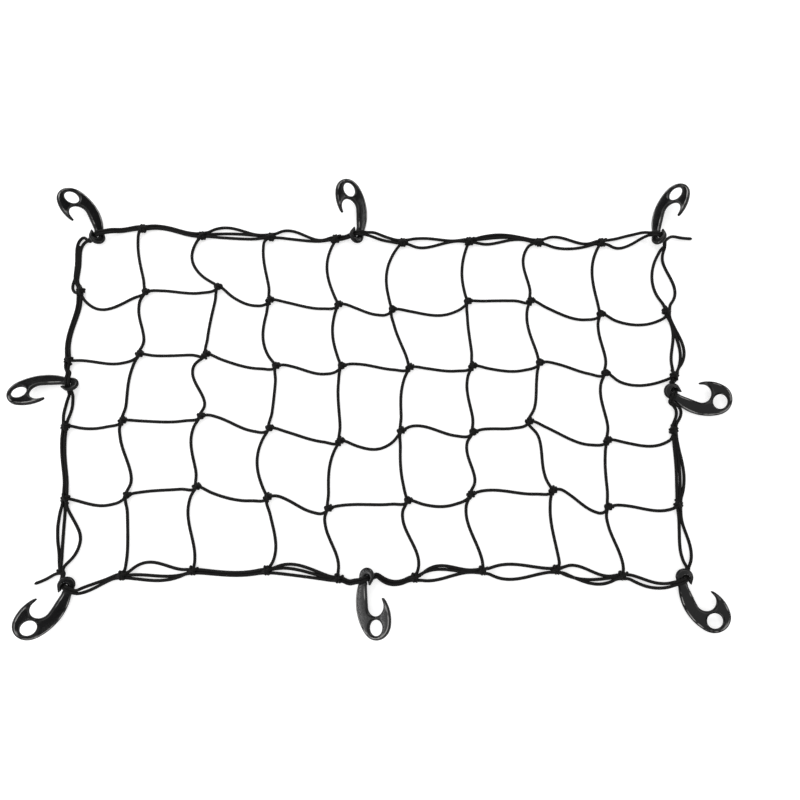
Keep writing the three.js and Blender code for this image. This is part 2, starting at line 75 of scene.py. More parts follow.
# Edge of the moulding: how far in from the outline the face has risen to which height, and how much painted
# highlight lies there, a light line on the chamfer ridge in place of a lamp's reflection
EDGE_IN = np.array([0, 0.03, 0.12, 0.32, 0.62, 1.2, 1.8, 2.35, 2.75, 3.3])
EDGE_HIGH = np.array([0, 0.8, 1.35, 1.7, 1.92, 2.26, 2.6, 2.88, 3.02, HOOK_HALF])
EDGE_PAINTED_HIGHLIGHT = np.array([0, 0, 0, 0.1, 0, 0, 0.3, 1, 1, 0])
SHARP_ANGLE = math.radians(50)               # edges of the plastic that turn by more than this stay sharp


def arc(u, v, radius, start, end):
    """Points on a circle about (u, v), from the start angle to the end angle in degrees, about 1 mm apart."""
    count = max(3, int(abs(math.radians(end - start)) * radius))
    angle = np.radians(np.linspace(start, end, count))
    return np.stack([u + radius * np.cos(angle), v + radius * np.sin(angle)], 1)


def eased(row, times, closed):
    """Each value averaged with its two neighbours, half its own and a quarter each, so many times over."""
    for _ in range(times):
        if closed:
            row = row / 2 + (np.roll(row, 1, 0) + np.roll(row, -1, 0)) / 4
        else:
            row = np.concatenate([row[:1], row[1:-1] / 2 + (row[:-2] + row[2:]) / 4, row[-1:]])
    return row


def even(places, step, closed):
    """Places read off a polyline at even steps of the length that has been summed along it."""
    if closed:
        places = np.concatenate([places, places[:1]])
    far = np.concatenate([[0], np.cumsum(np.linalg.norm(np.diff(places[:, :3], axis=0), axis=1))])
    count = max(4, round(far[-1] / step))
    marks = np.linspace(0, far[-1], count, endpoint=not closed)
    return np.stack([np.interp(marks, far, column) for column in places.T], 1)


def hook_outline():
    """Closed outline of the hook: neck, jaw, tip, arm, crown, back, clip, tongue and throat in turn, read off at
    even steps and eased."""
    loop = np.concatenate([
        NECK, arc(**JAW), TIP, arc(**ARM), arc(**CROWN), arc(**BACK), arc(**CLIP), TONGUE, arc(**THROAT)])
    return eased(even(loop, OUTLINE_STEP, True), 3, True)


def inward(loop, sense):
    """Unit normals of a closed loop that point into the plastic."""
    ahead = np.roll(loop, -1, 0) - np.roll(loop, 1, 0)
    ahead /= np.linalg.norm(ahead, axis=1, keepdims=True)
    return sense * np.stack([-ahead[:, 1], ahead[:, 0]], 1)


def room_inside(loop, normal, edges):
    """Radius of the largest circle that touches the outline at each point from inside and crosses no edge: the
    least of distance squared over twice the distance along the normal, over all points of the edges, and then
    over the nearest points of the loop."""
    away = edges[None] - loop[:, None]
    square = (away ** 2).sum(2)
    along = (away * normal[:, None]).sum(2)
    radius = np.where((along > 1e-3) & (square > 1), square / np.maximum(2 * along, 1e-6), 1e3)
    least = radius.min(1)
    return np.min([np.roll(least, k) for k in range(-2, 3)], 0)


def inside(places, loop):
    """Whether places are in a closed loop: a ray to +u crosses its edges an odd number of times."""
    a, b = loop[None], np.roll(loop, -1, 0)[None]
    u, v = places[:, None, 0], places[:, None, 1]
    spans = (a[..., 1] > v) != (b[..., 1] > v)
    rise = np.where(spans, b[..., 1] - a[..., 1], 1)
    crossing = a[..., 0] + (v - a[..., 1]) * (b[..., 0] - a[..., 0]) / rise
    return (spans & (u < crossing)).sum(1) % 2 == 1


def hook_shape():
    """Points (u, v, n), faces and painted highlight of one hook: the edge profile is carried round the outline and
    round the eye, less far in where the plastic is narrow, and both faces are filled between the two inmost rings.
    The painted highlight is a light line on the chamfer ridges of the back and the crown, in place of a lamp's
    reflection: it grows with the distance from the jaw's middle and along the shank."""
    loops = [hook_outline(), even(arc(**EYE)[:-1], OUTLINE_STEP, True)]
    area = [np.sum(p[:, 0] * np.roll(p[:, 1], -1) - p[:, 1] * np.roll(p[:, 0], -1)) for p in loops]
    normals = [inward(loops[0], np.sign(area[0])), inward(loops[1], -np.sign(area[1]))]
    edges = np.concatenate(loops)
    points, faces, painted_highlight, rims, first = [], [], [], [], 0
    share = np.concatenate([-EDGE_IN[:0:-1], EDGE_IN]) / EDGE_IN[-1]
    for index, (loop, normal) in enumerate(zip(loops, normals)):
        room = room_inside(loop, normal, edges)
        reach = np.minimum(eased(np.minimum(EDGE_IN[-1], 0.75 * room), 6, True), 0.8 * room)
        depth = np.abs(share)[:, None] * reach[None]
        flat = loop[None] + normal[None] * depth[..., None]
        high = np.sign(share)[:, None] * np.interp(depth, EDGE_IN, EDGE_HIGH)
        points.append(np.concatenate([flat, high[..., None]], 2).reshape(-1, 3))
        # Painted highlight: light lines on the chamfer ridges of the back and the crown, in place of a lamp's
        # reflection, fading near the jaw and near the clip
        from_jaw = np.linalg.norm(loop - [JAW["u"], JAW["v"]], axis=1)
        highlight_reach = np.interp(from_jaw, (16, 19.6), (0.1, 1)) * np.interp(loop[:, 0], (8, 17), (0.1, 1))
        painted_highlight.append((np.interp(depth, EDGE_IN, EDGE_PAINTED_HIGHLIGHT) * highlight_reach * (index == 0)).ravel())
        rows, count = len(share), len(loop)
        i, j = np.meshgrid(np.arange(rows - 1), np.arange(count), indexing="ij")
        k = (j + 1) % count
        quads = np.stack([i * count + j, i * count + k, (i + 1) * count + k, (i + 1) * count + j], -1)
        outward = 1 if (index == 0) == (area[index] > 0) else -1
        faces += (quads.reshape(-1, 4)[:, ::outward] + first).tolist()
        rims.append((first + np.arange(count), first + (rows - 1) * count + np.arange(count)))
        first += rows * count
    points = np.concatenate(points)
    for side, outward in ((0, -1), (1, 1)):
        ring = np.concatenate([rims[0][side], rims[1][side]])
        flat = points[ring, :2]
        sizes = [len(rims[0][side]), len(rims[1][side])]
        links = [(s + a, s + (a + 1) % n) for s, n in ((0, sizes[0]), (sizes[0], sizes[1])) for a in range(n)]
        found = delaunay_2d_cdt([Vector(p) for p in flat], links, [], 0, 1e-6)
        triangles = np.array(found[2])
        middle = flat[triangles].mean(1)
        triangles = triangles[inside(middle, flat[:sizes[0]]) & ~inside(middle, flat[sizes[0]:])]
        faces += ring[triangles[:, ::outward]].tolist()
    return points, faces, np.concatenate(painted_highlight)


def hook_axes(row):
    """Axes of a hook as rows: u along the shank at its heading and pitch, v to the jaw's side and rolled up about
    u, and n square to both, on the upper face."""
    heading, roll, pitch = (math.radians(row[key]) for key in ("heading", "roll", "pitch"))
    u = np.array([math.cos(heading) * math.cos(pitch), math.sin(heading) * math.cos(pitch), math.sin(pitch)])
    flat = np.array([-math.sin(heading), math.cos(heading), 0]) * row["jaw"]
    v = flat * math.cos(roll) + np.cross(u, flat) * row["jaw"] * math.sin(roll)
    return np.stack([u, v, np.cross(u, v) * row["jaw"]])


def new_piece(name, points, faces, material, nodes=()):
    """Smooth mesh at the origin from points in millimetres about the middle of the net, riding on the one body."""
    mesh = bpy.data.meshes.new(name)
    mesh.from_pydata(((points - NET_MIDDLE) * MM).tolist(), [], faces)
    mesh.shade_smooth()
    mesh.materials.append(material)
    made = bpy.data.objects.new(name, mesh)
    bpy.context.scene.collection.objects.link(made)
    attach(made, "root")
    if nodes:
        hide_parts(*nodes)
    return made


def new_material(name):
    """Empty node material: its nodes, links and main shader."""
    material = bpy.data.materials.new(name)
    material.use_nodes = True
    nodes, links = material.node_tree.nodes, material.node_tree.links
    return material, nodes, links, nodes["Principled BSDF"]


def noise(nodes, links, scale, detail):
    """Noise on the piece's own coordinates."""
    where, made = nodes.new("ShaderNodeTexCoord"), nodes.new("ShaderNodeTexNoise")
    made.inputs["Scale"].default_value = scale
    made.inputs["Detail"].default_value = detail
    links.new(where.outputs["Object"], made.inputs["Vector"])
    return made.outputs["Fac"]


def ramp(nodes, links, value, low, high):
    """Colour of a value, between a low and a high row of (value, colour), where a colour may be one grey."""
    made = nodes.new("ShaderNodeValToRGB")
    links.new(value, made.inputs["Fac"])
    for element, (place, colour) in zip(made.color_ramp.elements, (low, high)):
        element.position = place
        element.color = (*colour, 1) if isinstance(colour, tuple) else (colour, colour, colour, 1)
    return made.outputs["Color"]


def blend(nodes, links, share, first, second):
    """First colour, mixed with a plain second one by that share."""
    made = nodes.new("ShaderNodeMix")
    made.data_type = "RGBA"
    links.new(share, made.inputs["Factor"])
    links.new(first, made.inputs["A"])
    made.inputs["B"].default_value = (*second, 1)
    return made.outputs["Result"]


def relief(nodes, links, height, strength, distance):
    """Normal of a surface raised by a pattern of heights."""
    made = nodes.new("ShaderNodeBump")
    made.inputs["Strength"].default_value = strength
    made.inputs["Distance"].default_value = distance
    links.new(height, made.inputs["Height"])
    return made.outputs["Normal"]


hook_plastic, nodes, links, shader = new_material("moulded_black_plastic")
shader.inputs["Specular IOR Level"].default_value = 0.2
shader.inputs["Coat Weight"].default_value = 0.06
shader.inputs["Coat Roughness"].default_value = 0.12
flow, grain = noise(nodes, links, 70, 4), noise(nodes, links, 1400, 2)
links.new(ramp(nodes, links, flow, (0.3, 0.2), (0.72, 0.3)), shader.inputs["Roughness"])
black = ramp(nodes, links, flow, (0.25, (0.003, 0.003, 0.0033)), (0.8, (0.006, 0.0058, 0.006)))
# Painted highlight: where the hook's attribute is high, the black turns light grey in broken spots, in place of a
# lamp's reflection along the chamfers
painted_highlight_input = nodes.new("ShaderNodeAttribute")
painted_highlight_input.attribute_name = "painted_highlight"
highlight_spots = nodes.new("ShaderNodeMath")
highlight_spots.operation = "MULTIPLY"
links.new(painted_highlight_input.outputs["Fac"], highlight_spots.inputs[0])
links.new(ramp(nodes, links, flow, (0.4, 0.0), (0.55, 1.0)), highlight_spots.inputs[1])
links.new(blend(nodes, links, highlight_spots.outputs["Value"], black, (0.3, 0.295, 0.29)), shader.inputs["Base Color"])
links.new(relief(nodes, links, grain, 0.25, 0.00004), shader.inputs["Normal"])

hook_points, hook_faces, hook_painted_highlight = hook_shape()
flat_outline = hook_outline()
rims = np.concatenate([
    np.column_stack([flat_outline, np.full(len(flat_outline), n)]) for n in (-HOOK_HALF, HOOK_HALF)])
clips = {}                                   # axes and middle of each clip, with the lower rim on the floor
for at, row in HOOKS.items():
    axes = hook_axes(row)
    clips[at] = dict(axes=axes, middle=np.array([row["x"], row["y"], -(rims @ axes)[:, 2].min()]))
    lying = hook_points @ axes + [row["x"], row["y"], 0]
    lying[:, 2] -= lying[:, 2].min()
    faces = [face[::row["jaw"]] for face in hook_faces]
    node = "hook_" + row["name"]
    hook = new_piece(node + "_moulding", lying, faces, hook_plastic, [node])
    hook.data.set_sharp_from_angle(angle=SHARP_ANGLE)
    # The painted highlight along the chamfers, stored on the hook's points
    hook.data.attributes.new("painted_highlight", "FLOAT", "POINT").data.foreach_set("value", hook_painted_highlight)

# Border cord: black elastic cord with a braided cover. It is run twice round the edge, with a third strand on some
# lengths, in through the clip of each hook and out behind it, and its ends are tied at the lower left.
CORD_RADIUS = 2.35
PAIR = 4.6                                   # middle to middle of two strands side by side
SQUEEZE = 0.85                               # share of that distance that a clip leaves them
FLOOR_AXIS = CORD_RADIUS                     # height of the axis of a cord on the floor
BORDER_AXIS = 4.9                            # height of the strands in a border knot
KNOT_HALF = 7.0                              # half of a border knot along the border
CORD_STEP = 2.4
CORD_SIDES = 12
LET_DOWN = 24                                # length over which a cord comes down from a knot to the floor
BRAID_LENGTH = 2 * math.pi * CORD_RADIUS     # length of cord that the braid's map takes as one
MESH = 100                                   # even distance from knot to knot
# How far each knot lies from the even grid, by row from the top, columns 1 to 8
KNOT_SHIFTS = {
    0: dict(across=(-7, -14, -8, -7, -4, 0, 6, 4), up=(19, 7, 5, 2, -4, -2, -4, -4)),
    1: dict(across=(4, 14, -6, -1, -19, -4, -9, -3), up=(15, 23, 2, -5, -13, 0, 1, -20)),
    2: dict(across=(1, 1, 7, 5, 7, 1, 2, -1), up=(17, 17, -1, -1, -3, -1, 4, -12)),
    3: dict(across=(-17, -2, 0, 4, -6, 0, -17, -3), up=(16, 23, 5, -14, 1, -1, 15, -13)),
    4: dict(across=(-3, -3, 1, -11, 4, -5, 14, -7), up=(7, 19, 4, -12, -1, 8, 14, -10)),
    5: dict(across=(-2, -2, 3, 4, 13, 9, 14, 7), up=(-7, 0, 0, -11, -10, 0, 1, -7)),
}
# The same for the knots on the left and right borders, by column, rows 1 to 4
SIDE_SHIFTS = {
    0: dict(across=(4, -5, -1, 8), up=(16, 8, 7, 2)),
    9: dict(across=(-3, 2, -5, -6), up=(-15, -15, 2, -7)),
}
# Sides of the net: the way out of it, and the way along it that is clockwise
SIDES = {
    "T": dict(out=np.array([0.0, 1, 0]), way=np.array([1.0, 0, 0])),
    "R": dict(out=np.array([1.0, 0, 0]), way=np.array([0, -1.0, 0])),
    "B": dict(out=np.array([0.0, -1, 0]), way=np.array([-1.0, 0, 0])),
    "L": dict(out=np.array([-1.0, 0, 0]), way=np.array([0, 1.0, 0])),
}
# Lengths of the border, clockwise: the outward bow of each strand at one and at two thirds. At the two left
# corners it is the places that the strand lies through
BORDER = (
    dict(start="TL", side="T", outer=(3, 3), inner=(-1, -1)),
    dict(start="T1", side="T", outer=(7, 4), inner=(3, 0)),
    dict(start="T2", side="T", outer=(14, 7), inner=(-3, -4), third=(4, 3)),
    dict(start="T3", side="T", outer=(10, -1), inner=(-3, -5)),
    dict(start="T4", side="T", outer=(3, 3), inner=(-1, 0)),
    dict(start="TM", side="T", outer=(6, 4), inner=(-2, -2)),
    dict(start="T5", side="T", outer=(6, 2), inner=(-9, -2)),
    dict(start="T6", side="T", outer=(11, 10), inner=(-3, 4), third=(6, 7)),
    dict(start="T7", side="T", outer=(8, -1), inner=(-10, -9)),
    dict(start="T8", side="T", outer=(4, 6), inner=(-13, -8)),
    dict(start="TR", side="R", outer=(1, 14), inner=(-17, -18)),
    dict(start="R1", side="R", outer=(13, 19), inner=(6, 0), third=(8, 13)),
    dict(start="R2", side="R", outer=(2, 2), inner=(-2, -2)),
    dict(start="RM", side="R", outer=(16, 12), inner=(9, 6)),
    dict(start="R3", side="R", outer=(8, 11), inner=(0, 0), third=(4, 5)),
    dict(start="R4", side="R", outer=(4, 9), inner=(-3, -6)),
    dict(start="BR", side="B", outer=(10, 9), inner=(3, 0)),
    dict(start="B8", side="B", outer=(14, 11), inner=(0, -8), third=(7, 9)),
    dict(start="B7", side="B", outer=(8, 12), inner=(-6, -9)),
    dict(start="B6", side="B", outer=(1, 5), inner=(-7, -14), third=(-3, -9)),
    dict(start="B5", side="B", outer=(10, 11), inner=(6, 6)),
    dict(start="BM", side="B", outer=(5, 5), inner=(1, 1)),
    dict(start="B4", side="B", outer=(2, 2), inner=(-9, -13), third=(-3, -7)),
    dict(start="B3", side="B", outer=(6, 5), inner=(2, 1)),
    dict(start="B2", side="B", outer=(10, 8), inner=(-9, -17), third=(5, 1)),
    dict(start="B1", side="B", outer=(2, 4), inner=(-2, -3)),
    dict(start="BL", side="L", lies=dict(
        outer=((-442, -249), (-443.5, -235), (-444.6, -223), (-448, -210), (-450, -189), (-448.6, -168)),
        inner=((-440, -249), (-435, -242), (-425, -233), (-418, -221), (-415, -207), (-417, -196), (-428, -178),
               (-438, -163)),
        third=((-441, -250), (-440, -238), (-440.5, -224), (-440.7, -212), (-441, -189), (-441, -163),
               (-443, -150)))),
    dict(start="L4", side="L", outer=(3, 5.5), inner=(-1, 1)),
    dict(start="L3", side="L", outer=(6, 5.5), inner=(-4, -4)),
    dict(start="LM", side="L", outer=(5, 6), inner=(2.5, 1.5)),
    dict(start="L2", side="L", outer=(7, 3), inner=(3, -1.5)),
    dict(start="L1", side="L", lies=dict(
        outer=((-455, 179), (-457, 186), (-456.5, 198), (-456, 210), (-458, 236), (-456, 248), (-448, 257)),
        inner=((-449, 175), (-453, 180), (-452, 190), (-450.5, 208), (-452, 234), (-449, 243), (-443, 250)),
        third=((-446, 164), (-455.5, 162.5), (-460, 171), (-459, 179), (-456, 187), (-453.5, 200), (-454, 220),
               (-454, 240)))),
)
# Route through a clip in the hook's axes: over the neck, in through the throat and out behind the clip, where it
# goes on by shares to the hook's own way out
THREAD = np.array([
    (-1.5, -18, 5.6), (2, -9, 5.6), (3, -3.2, 5.6), (3.2, 0.1, 3.2), (3.2, 1.5, -3.2), (2.4, 4.6, -6.0)])
THREAD_OUT = dict(share=(0.45, 1.0), v=(9, 13), n=(-6.2, -6.2))
THREAD_DROP = np.array([0.7, 0.4])           # share of its height over the floor that is left on the way out
NECK_SHIFT = np.array([1, 0.7, 0.3])         # share of a hook's neck shift that the first places take


def knot_place(row, column):
    """Middle of a knot: its place in the even grid of 9 by 5 meshes and its own shift from there."""
    shifts = SIDE_SHIFTS.get(column, KNOT_SHIFTS[row])
    index = row - 1 if column in SIDE_SHIFTS else column - 1
    return np.array([(column - 4.5) * MESH + shifts["across"][index], (2.5 - row) * MESH + shifts["up"][index], 0])


def smoothstep(share):
    """Rise from 0 to 1, level at both ends."""
    share = np.clip(share, 0, 1)
    return share * share * (3 - 2 * share)


def span(start, end, sideways, bows, start_turn=0, end_turn=0, count=40):
    """Cord that lies between two places: the straight line, moved sideways by the cubic that is each bow at one
    and two thirds, turned aside near the ends, and let down from each end to the floor."""
    t = np.linspace(0, 1, count)[:, None]
    reach = min(0.5, LET_DOWN / np.linalg.norm(end - start))
    near, far = 1 - smoothstep(t / reach), smoothstep((t - 1 + reach) / reach)
    bow = 13.5 * t * (1 - t) * (bows[0] * (2 / 3 - t) + bows[1] * (t - 1 / 3))
    way = start + (end - start) * t + sideways * bow + near * start_turn + far * end_turn
    way[:, 2:] = FLOOR_AXIS + (start[2] - FLOOR_AXIS) * near + (end[2] - FLOOR_AXIS) * far
    return way


def laid(start, places, end):
    """Cord that lies through places on the floor between two ends: straight lines, eased round their corners."""
    level = np.column_stack([places, np.full(len(places), FLOOR_AXIS)])
    return eased(even(np.concatenate([start, level, end]), 2, False), 9, False)


def facing(way, upward=(0, 0, 1)):
    """A way with the direction beside each place that the cord's skin starts from."""
    return np.column_stack([way, np.broadcast_to(upward, way.shape)])


def cord_skin(path, closed=False, radius=CORD_RADIUS, step=CORD_STEP, sealed=(False, False)):
    """Round cord along a path: a circle square to the path at each even step, drawn in over one radius at a
    sealed end, with the ends closed by strips of four-sided faces. Also the map of its braid."""
    path = eased(even(path, step, closed), 3, closed)
    place, upward = path[:, :3], path[:, 3:]
    ahead = np.roll(place, -1, 0) - np.roll(place, 1, 0) if closed else np.gradient(place, axis=0)
    ahead /= np.linalg.norm(ahead, axis=1, keepdims=True)
    beside = np.cross(ahead, upward)
    beside /= np.linalg.norm(beside, axis=1, keepdims=True)
    above = np.cross(beside, ahead)
    far = np.concatenate([[0], np.cumsum(np.linalg.norm(np.diff(place, axis=0), axis=1))])
    size = np.full(len(place), radius)
    for is_sealed, left in zip(sealed, (far, far[-1] - far)):
        if is_sealed:
            size *= np.sqrt(np.maximum(0.1, 1 - np.clip(1 - left / radius, 0, 1) ** 2))
    turn = np.linspace(0, 2 * math.pi, CORD_SIDES, endpoint=False)[None, :, None]
    points = place[:, None] + size[:, None, None] * (np.cos(turn) * beside[:, None] + np.sin(turn) * above[:, None])
    rings = len(place)
    i, j = np.meshgrid(np.arange(rings if closed else rings - 1), np.arange(CORD_SIDES), indexing="ij")
    i, j = i.ravel(), j.ravel()
    corners_i, corners_j = np.stack([i, i + 1, i + 1, i], 1), np.stack([j, j, j + 1, j + 1], 1)
    quads = (corners_i % rings) * CORD_SIDES + corners_j % CORD_SIDES
    apart = far[-1] / (rings - 1)
    braid = np.stack([corners_j / CORD_SIDES, corners_i * apart / BRAID_LENGTH], 2)
    if not closed:
        k = np.arange(CORD_SIDES // 2 - 1)
        strip = np.stack([k, k + 1, CORD_SIDES - 2 - k, CORD_SIDES - 1 - k], 1)
        quads = np.concatenate([quads, strip, strip[:, ::-1] + (rings - 1) * CORD_SIDES])
        braid = np.concatenate([braid, np.zeros((2 * len(k), 4, 2))])
    return points.reshape(-1, 3), quads, braid


def cord_piece(name, skins, nodes=()):
    """One piece of several cords' skins, with the map of the braid."""
    starts = np.cumsum([0] + [len(points) for points, _, _ in skins[:-1]])
    faces = np.concatenate([quads + start for start, (_, quads, _) in zip(starts, skins)])
    points = np.concatenate([points for points, _, _ in skins])
    made = new_piece(name, points, faces.tolist(), elastic_cord, nodes)
    braid = np.concatenate([braid for _, _, braid in skins])
    made.data.uv_layers.new(name="braid").data.foreach_set("uv", braid.ravel())
    return made


def thread_way(at, beside):
    """Route of one strand through a clip, clockwise, that far out along the shank from the pair's middle: the
    thread's places in the hook's axes, let down behind the clip and held above the floor."""
    row, clip = HOOKS[at], clips[at]
    out = THREAD[-1, 0] + (row["out"] - THREAD[-1, 0]) * np.array(THREAD_OUT["share"])
    route = np.concatenate([THREAD, np.column_stack([out, THREAD_OUT["v"], THREAD_OUT["n"]])])
    route[:3, 0] += row.get("neck", 0) * NECK_SHIFT
    way = route @ clip["axes"] + clip["middle"] + clip["axes"][0] * beside * SQUEEZE
    way[0, 2] = max(way[0, 2], way[1, 2] - 1)
    way[-2:, 2] = FLOOR_AXIS + (way[-2:, 2] - FLOOR_AXIS) * THREAD_DROP
    way[:, 2] = np.maximum(way[:, 2], FLOOR_AXIS)
    return way if row["leads"] else way[::-1]


stations = {f"T{i}": knot_place(0, i) for i in range(1, 9)} | {f"B{i}": knot_place(5, i) for i in range(1, 9)}
stations |= {f"L{i}": knot_place(i, 0) for i in range(1, 5)} | {f"R{i}": knot_place(i, 9) for i in range(1, 5)}


def strand_end(at, side, beside, sense):
    """Where a strand leaves a station (sense 1) or comes to it (sense -1), on the given side of the net."""
    if at in HOOKS:
        return thread_way(at, 0)[-1 if sense > 0 else 0] + SIDES[side]["out"] * beside
    return stations[at] + SIDES[side]["out"] * beside + SIDES[side]["way"] * sense * KNOT_HALF + [0, 0, BORDER_AXIS]


elastic_cord, nodes, links, shader = new_material("braided_elastic_cord")
shader.inputs["Specular IOR Level"].default_value = 0.12
shader.inputs["Sheen Weight"].default_value = 0.01
shader.inputs["Sheen Roughness"].default_value = 0.45
braid_map = nodes.new("ShaderNodeUVMap")
braid_map.uv_map = "braid"
parts = nodes.new("ShaderNodeSeparateXYZ")
links.new(braid_map.outputs["UV"], parts.inputs["Vector"])


def braid_math(operation, first, second=None):
    """Math node on one or two values, each a number or another node's output."""
    made = nodes.new("ShaderNodeMath")
    made.operation = operation
    for socket, value in zip(made.inputs, (first, second)):
        if isinstance(value, (int, float)):
            socket.default_value = value
        elif value is not None:
            links.new(value, socket)
    return made.outputs["Value"]


# Two sets of yarns run round the cord, eight each way; a yarn stands high where both sets' waves are high
YARNS_ROUND, YARNS_ALONG = 8, 6
around = braid_math("MULTIPLY", parts.outputs["X"], YARNS_ROUND * math.pi)
along = braid_math("MULTIPLY", parts.outputs["Y"], YARNS_ALONG * math.pi)
right_hand = braid_math("ABSOLUTE", braid_math("SINE", braid_math("ADD", around, along)))
left_hand = braid_math("ABSOLUTE", braid_math("SINE", braid_math("SUBTRACT", around, along)))
yarn = braid_math("MULTIPLY", right_hand, left_hand)
dust = noise(nodes, links, 45, 5)
# The cord's colour follows the height of the yarns: darker in the grooves and lighter on the crowns, a painted
# shade in the braid, with the dust's random tone laid over it
groove_shade_and_dust = braid_math("MULTIPLY", yarn, braid_math("ADD", dust, 0.45))
black = ramp(nodes, links, groove_shade_and_dust, (0.0, (0.001, 0.001, 0.001)), (0.95, (0.011, 0.0103, 0.0098)))
links.new(black, shader.inputs["Base Color"])
links.new(ramp(nodes, links, dust, (0.1, 0.4), (0.9, 0.62)), shader.inputs["Roughness"])
links.new(relief(nodes, links, yarn, 0.7, 0.00025), shader.inputs["Normal"])

border_skins = []
for strand, beside in (("outer", PAIR / 2), ("inner", -PAIR / 2)):
    path = []
    for row, following in zip(BORDER, BORDER[1:] + BORDER[:1]):
        if row["start"] in HOOKS:
            path.append(facing(thread_way(row["start"], beside), clips[row["start"]]["axes"][0]))
        ends = (strand_end(row["start"], row["side"], beside, 1),
                strand_end(following["start"], row["side"], beside, -1))
        if "lies" in row:
            way = laid(ends[:1], row["lies"][strand], ends[1:])
        else:
            way = span(*ends, SIDES[row["side"]]["out"], [bow - beside for bow in row[strand]])
        path.append(facing(way[1:-1]))
    border_skins.append(cord_skin(np.concatenate(path), closed=True))
for row, following in zip(BORDER, BORDER[1:] + BORDER[:1]):
    if "third" in row:
        ends = (strand_end(row["start"], row["side"], 0, 0), strand_end(following["start"], row["side"], 0, 0))
        border_skins.append(cord_skin(facing(span(*ends, SIDES[row["side"]]["out"], row["third"]))))
    if "lies" in row:
        way = laid(np.empty((0, 3)), row["lies"]["third"], np.empty((0, 3)))
        border_skins.append(cord_skin(facing(way)))
# Cut tails: the hook that each comes from, which place of the thread there, and the places it lies through
TAILS = (
    dict(at="TR", behind=-2, places=((460, 255, 8), (478, 253, FLOOR_AXIS), (495, 252, FLOOR_AXIS))),
    dict(at="BL", behind=-1, places=((-442, -251, 5), (-460, -262, FLOOR_AXIS), (-476, -268, FLOOR_AXIS))),
)
for tail in TAILS:
    way = np.concatenate([[thread_way(tail["at"], 0)[tail["behind"]]], np.array(tail["places"], float)])
    border_skins.append(cord_skin(facing(eased(even(way, 3, False), 6, False)), sealed=(False, True)))
cord_piece("border_strands", border_skins, ["border_cord"])

# Mesh: eight cords across the net and four along it, of the same elastic cord, running on from knot to knot. Both
# ends of each are tied to the border.
KNOT_AXIS = 4.2                              # height of the cords in a mesh knot
# Where a mesh cord meets its border knot, from that knot's middle
MEETS = dict(
    T=dict(across=(-6, -4, -10, -2, -6, -4, -14, -5), up=(-6, -4, -7, -6, -7, -8, -5, -7)),
    B=dict(across=(4, 2, 8, 0, 4, 1, 5, 2), up=(10, 10, 12, 9, 10, 7, 8, 7)),
    L=dict(across=(5, 8, 6, 5), up=(-11, -1, 2, 0)),
    R=dict(across=(-2, -7, -4, -3), up=(-10, -5, -13, -3)),
)
# Sideways bow of each cord at one and at two thirds from knot to knot, to +X for a column and to +Y for a row
COLUMN_BOWS = {
    1: dict(third=(-5, -8, -7, -4, 1), two_thirds=(-3, 2, -3, 6, 2)),
    2: dict(third=(-22, -2, -18, -13, -12), two_thirds=(-23, -3, -1, -6, -5)),
    3: dict(third=(-4, -12, 1, -16, 2), two_thirds=(-1, -16, 1, -15, 6)),
    4: dict(third=(-14, -11, -5, -9, -8), two_thirds=(-12, -10, -2, -6, 0)),
    5: dict(third=(-14, -5, -8, -5, -11), two_thirds=(-12, -2, -5, -6, 0)),
    6: dict(third=(-8, -3, -9, -8, -12), two_thirds=(-8, -1, -3, 3, -5)),
    7: dict(third=(-10, -10, 0, 5, -7), two_thirds=(-3, -6, 4, -3, -4)),
    8: dict(third=(-11, -5, -8, -4, -6), two_thirds=(-8, 1, -1, -2, 0)),
}
ROW_BOWS = {
    1: dict(third=(-21, -1, -11, -3, -3, -9, 1, -9, -12), two_thirds=(-13, -7, -15, -8, -10, -17, 1, -15, -13)),
    2: dict(third=(-5, -2, -6, -3, 3, -3, -7, 2, -14), two_thirds=(-11, -1, -9, -12, -3, -7, -11, -4, -12)),
    3: dict(third=(-7, -3, 1, -2, -14, 7, 0, -6, -5), two_thirds=(-7, -6, -8, -6, -21, -4, -5, -14, -10)),
    4: dict(third=(-9, 2, -8, 1, 2, -10, 4, 0, 1), two_thirds=(-13, 0, -10, -9, -2, -13, -3, -12, -5)),
}
# How a cord comes to and leaves a mesh knot, from the knot's middle
COLUMN_COMES, COLUMN_LEAVES = np.array([-2.0, 3, 0]), np.array([-2.2, -4.5, 0])
ROW_COMES, ROW_LEAVES = np.array([-3.0, -4.5, 0]), np.array([3.0, 1, 0])


def meet(side, index):
    """Where a mesh cord meets its border knot, and a place inside that knot."""
    knot = stations[f"{side}{index}"] + [0, 0, KNOT_AXIS]
    aside = np.array([MEETS[side]["across"][index - 1], MEETS[side]["up"][index - 1], 0])
    return knot + aside, knot + aside * 0.3


def mesh_cord(ends, knots, sideways, bows, comes, leaves):
    """Path of a mesh cord from border to border: a span from each knot to the next, and its two tied ends."""
    (first, first_tied), (last, last_tied) = ends
    places = [first, *(knot + [0, 0, KNOT_AXIS] for knot in knots), last]
    ways = [first_tied[None]]
    for i, (start, end) in enumerate(zip(places, places[1:])):
        turns = (leaves if i else 0 * leaves, comes if i < len(knots) else 0 * comes)
        ways.append(span(start, end, sideways, (bows["third"][i], bows["two_thirds"][i]), *turns))
    return np.concatenate([*ways, last_tied[None]])


